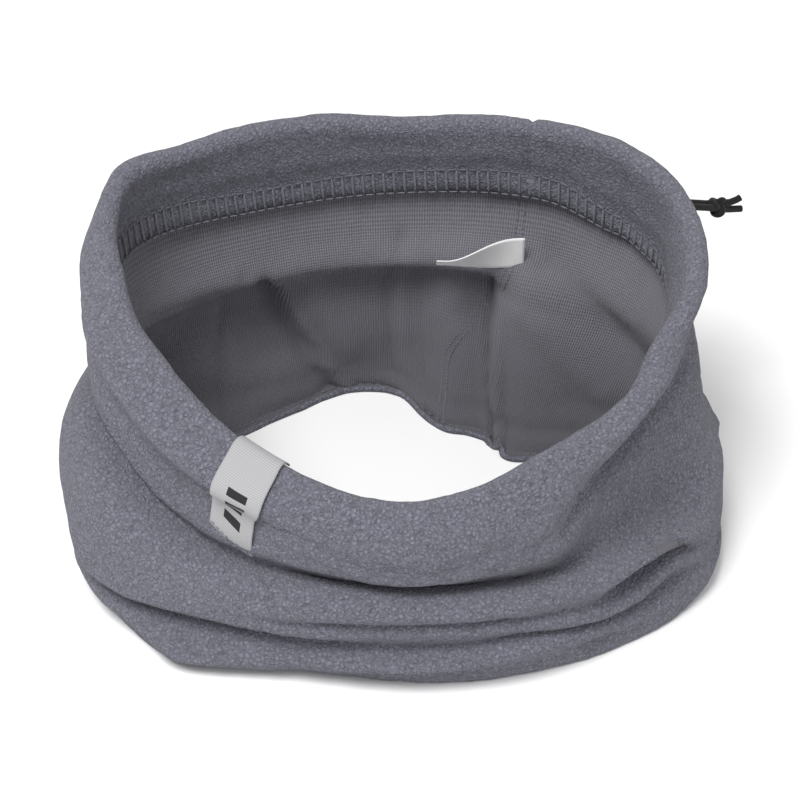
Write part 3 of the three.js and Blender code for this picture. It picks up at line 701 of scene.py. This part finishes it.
class GAITER_OT_cords(bpy.types.Operator):
    """Make the drawcord: the two ends, the knot and the run in the hem"""
    bl_idname = "gaiter.cords"
    bl_label = "Drawcord"

    def execute(self, context):
        bend = [(math.sin(t) + 2 * math.sin(2 * t), math.cos(t) - 2 * math.cos(2 * t),
                 -1.2 * math.sin(3 * t)) for t in (math.tau * k / 60 for k in range(60))]
        knot = new_cord("knot", [
            (KNOT + RUN_AXIS * (0.82 * x) + KNOT_SIDE * (0.86 * y)
             + RUN_AXIS.cross(KNOT_SIDE) * (0.86 * z)) * MM for x, y, z in bend], closed=True)
        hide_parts("cord_knot")
        for name, tail, side, nodes, more in (
                ("cord_left", LEFT_TAIL, 1.4, ("cord_strand_left", "cord_tail_left"), [knot]),
                ("cord_right", RIGHT_TAIL, -1.4, ("cord_strand_right", "cord_tail_right"), [])):
            points = run_points(tail, side)
            cord = new_cord(name, points)
            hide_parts(*nodes)
        turn = np.linspace(48, 394, 240)
        station = TURN_STEPS + HEM_ROWS + 3.0
        loop = on_fleece(turn, np.full(240, station), np.full(240, -2 * SKIN - TURN_RADIUS + SKIN))
        hidden = new_cord("cord_in_hem", [Vector(p) for p in loop])
        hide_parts("drawcord_in_channel")
        return {"FINISHED"}


class GAITER_OT_hardware(bpy.types.Operator):
    """Make the eyelet and the cord lock's spring, and finish the lock's plastic"""
    bl_idname = "gaiter.hardware"
    bl_label = "Eyelet and cord lock"

    def execute(self, context):
        bm = bmesh.new()
        corners = [bm.verts.new((radius, 0, height)) for radius, height in EYELET_PROFILE]
        edges = [bm.edges.new(pair) for pair in zip(corners, corners[1:] + corners[:1])]
        bmesh.ops.spin(bm, geom=corners + edges, axis=(0, 0, 1), angle=math.tau, steps=36,
                       use_merge=True)
        bmesh.ops.recalc_face_normals(bm, faces=bm.faces)
        rims = [e for e in bm.edges if e.calc_face_angle(0) > 0.6]
        bmesh.ops.bevel(bm, geom=rims, affect="EDGES", offset=0.12, segments=2, profile=0.5,
                        material=-1)
        bmesh.ops.transform(bm, matrix=standing(EYELET_AXIS, EYELET), verts=bm.verts)
        eyelet = new_piece("eyelet", bm, bpy.data.materials["steel"])
        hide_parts("cord_eyelet")

        bm = bmesh.new()
        turn = Matrix.Rotation(math.pi / 2, 4, "X")
        wire = bmesh.ops.create_circle(
            bm, segments=8, radius=0.4, cap_ends=False,
            matrix=Matrix.Translation((3.2, 0, -5.2)) @ turn)["verts"]
        bmesh.ops.spin(bm, geom=wire + [e for e in bm.edges], axis=(0, 0, 1), angle=math.tau * 2.5,
                       dvec=(0, 0, 1.8 / 60), steps=60)
        bmesh.ops.holes_fill(bm, edges=[e for e in bm.edges if e.is_boundary])
        bmesh.ops.recalc_face_normals(bm, faces=bm.faces)
        bmesh.ops.transform(bm, matrix=standing(LOCK_AXIS, LOCK), verts=bm.verts)
        spring = new_piece("spring", bm, bpy.data.materials["steel"], "cord_lock")
        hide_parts("lock_spring")
        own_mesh(spring)
        for node in ("lock_barrel", "lock_plunger"):
            bpy.data.objects[node].material_slots[0].material = bpy.data.materials["plastic"]
        return {"FINISHED"}


class GAITER_OT_stitches(bpy.types.Operator):
    """Sew the hem, its overlocked edge, the bottom edge and the back seam"""
    bl_idname = "gaiter.stitches"
    bl_label = "Stitches"

    def execute(self, context):
        thick = context.scene.gaiter_sizes.thread_width / 2
        bm = bmesh.new()
        turn = np.linspace(0, 360, 171)[:-1]
        bar = np.full(170, 1.0)
        add_stitches(bm, on_fleece(turn, bar * 0.1, bar * 0.3),
                     on_fleece(turn + 0.3, bar * 2.7, bar * 0.3), thick * 2.2)
        stitch_row(bm, turn + 0.2, 2.8, 0.4, 0.8, thick)
        stitch_row(bm, turn, 0.0, 0.3, 0.8, thick * 1.2)
        new_thread("stitches_overlock", bm, "hem_overlock_thread")

        bm = bmesh.new()
        turn = np.linspace(0, 360, 181)[:-1]
        for off in (-1.2, 1.2):
            stitch_row(bm, turn, HEM_LINE + off, -0.35, 0.7, thick)
        new_thread("stitches_hem", bm, "hem_topstitch_thread")

        bm = bmesh.new()
        last = HEM_ROWS + TURN_STEPS + sum(FOLD_STEPS)
        stitch_row(bm, turn, last - 3.0, -2 * SKIN - 0.15, 0.7, thick)
        new_thread("stitches_bottom", bm, "bottom_hem_thread")

        bm = bmesh.new()
        rows = np.linspace(HEM_LINE + 3, last - 1, 80)
        lean = SEAM_ANGLE + 1.5 + 14 * smooth(rows, HEM_LINE + 10, last - 25)
        for off in (-0.7, 0.7):
            add_stitches(bm, on_fleece(lean[:-1] + off, rows[:-1], np.full(79, -2 * SKIN - 0.1)),
                         on_fleece(lean[1:] + off, rows[1:] - 0.25, np.full(79, -2 * SKIN - 0.1)),
                         thick)
        new_thread("stitches_back_seam", bm, "back_seam_thread")
        return {"FINISHED"}


class GAITER_OT_labels(bpy.types.Operator):
    """Make the woven label over the rim and the satin label inside"""
    bl_idname = "gaiter.labels"
    bl_label = "Labels"

    def execute(self, context):
        first = HEM_ROWS + 3.0
        last = TURN_STEPS + HEM_ROWS + sum(FOLD_STEPS[:3]) + 1.5
        stations = np.linspace(first, last, 50)

        def across(u, row):
            down = row / (len(stations) - 1)
            return 243.8 - 4.7 * down + (u - 0.5) * (10.3 - 1.7 * down)

        def skew(u, row):
            return 4.0 * (u - 0.5) * row / (len(stations) - 1)

        def lift(u, row):
            bow = 0.5 * smooth(u, 0.6, 1) * np.sin(np.pi * row / (len(stations) - 1))
            return 0.75 + bow - dents(across(u, row), stations[row] + skew(u, row))

        bm = bmesh.new()
        cloth_grid(bm, 24, stations, across, lift, (1, 1), skew)
        bmesh.ops.reverse_faces(bm, faces=bm.faces)
        label = new_piece("woven_label", bm, bpy.data.materials["woven"])
        wall = label.modifiers.new("thickness", "SOLIDIFY")
        wall.thickness = 0.5 * MM
        wall.offset = 0.0
        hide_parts("brand_label")

        bm = bmesh.new()
        ends = []
        for u in (np.linspace(0.06, 0.86, 8), np.linspace(0.06, 0.86, 8) + 0.07):
            row = np.full(8, 48)
            ends.append(on_fleece(across(u, row), stations[row] + skew(u, row), lift(u, row) + 0.3))
        add_stitches(bm, *ends, 0.2 * MM)
        new_thread("stitches_label", bm, "brand_label_stitch")

        bm = bmesh.new()
        bm.loops.layers.uv.verify()
        bmesh.ops.create_grid(bm, x_segments=28, y_segments=12, size=0.5, calc_uvs=True)
        for vert in bm.verts:
            u, w = vert.co.x + 0.5, vert.co.y + 0.5
            lean = math.radians(8 + 44 * float(smooth(u, 0.1, 0.9)))
            sway = Vector((0, -0.6 * math.sin(math.pi * 1.5 * u), 0))
            vert.co = (CARE_HINGE + Vector((0, -2.9, -4.6)) + CARE_RUN * (CARE_LENGTH * u) + sway
                       + CARE_WIDTH * w * Vector((0, -math.sin(lean), math.cos(lean)))) * MM
        ribbon = new_piece("care_ribbon", bm, bpy.data.materials["satin"], "care_label")
        wall = ribbon.modifiers.new("thickness", "SOLIDIFY")
        wall.thickness = 0.35 * MM
        wall.offset = 0.0
        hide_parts("care_label")
        return {"FINISHED"}


class GAITER_OT_tube(bpy.types.Operator):
    """Make the folded fleece tube with its turned hem"""
    bl_idname = "gaiter.tube"
    bl_label = "Fleece tube"

    def execute(self, context):
        size = context.scene.gaiter_sizes
        stations = np.arange(HEM_ROWS + TURN_STEPS + sum(FOLD_STEPS) + 1, dtype=float)
        start = SEAM_ANGLE
        turn = np.linspace(start, start + 360, COLUMNS + 1)
        flat = fleece_sections(turn)[0]
        length = np.linalg.norm(np.diff(flat, axis=0), axis=2).mean(axis=1).sum() * MM
        bm = bmesh.new()
        cloth_grid(bm, COLUMNS, stations, lambda u, row: start + 360 * u,
                   lambda u, row: np.full(len(u), -SKIN), (size.tube_girth, length))
        bmesh.ops.remove_doubles(bm, verts=bm.verts, dist=0.00002)
        bmesh.ops.reverse_faces(bm, faces=bm.faces)
        bm.normal_update()
        swell = lumps([vert.co for vert in bm.verts])
        for vert, amount in zip(bm.verts, swell):
            vert.co += vert.normal * (amount * MM)
        tube = new_piece("fleece_tube_cloth", bm,
                         [bpy.data.materials["pile"], bpy.data.materials["knit"]])
        wall = tube.modifiers.new("thickness", "SOLIDIFY")
        wall.thickness = 2 * SKIN * MM
        wall.offset = 0.0
        wall.material_offset = 1
        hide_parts("fleece_tube")
        return {"FINISHED"}


class GAITER_PT_panel(bpy.types.Panel):
    bl_label = "Gaiter"
    bl_idname = "GAITER_PT_panel"
    bl_space_type = "VIEW_3D"
    bl_region_type = "UI"
    bl_category = "Gaiter"

    def draw(self, context):
        for name in GaiterSizes.__annotations__:
            self.layout.prop(context.scene.gaiter_sizes, name)
        for operator in OPERATORS:
            self.layout.operator(operator.bl_idname)


OPERATORS = (GAITER_OT_stage, GAITER_OT_cords, GAITER_OT_hardware, GAITER_OT_tube,
             GAITER_OT_stitches, GAITER_OT_labels)


def register():
    for kind in (GaiterSizes, *OPERATORS, GAITER_PT_panel):
        bpy.utils.register_class(kind)
    bpy.types.Scene.gaiter_sizes = PointerProperty(type=GaiterSizes)


def unregister():
    del bpy.types.Scene.gaiter_sizes
    for kind in (GAITER_PT_panel, *reversed(OPERATORS), GaiterSizes):
        bpy.utils.unregister_class(kind)


def main():
    register()
    make_materials(bpy.context.scene.gaiter_sizes)
    bpy.ops.gaiter.stage()
    bpy.ops.gaiter.cords()
    bpy.ops.gaiter.hardware()
    bpy.ops.gaiter.tube()
    bpy.ops.gaiter.stitches()
    bpy.ops.gaiter.labels()


if __name__ == "__main__":
    main()
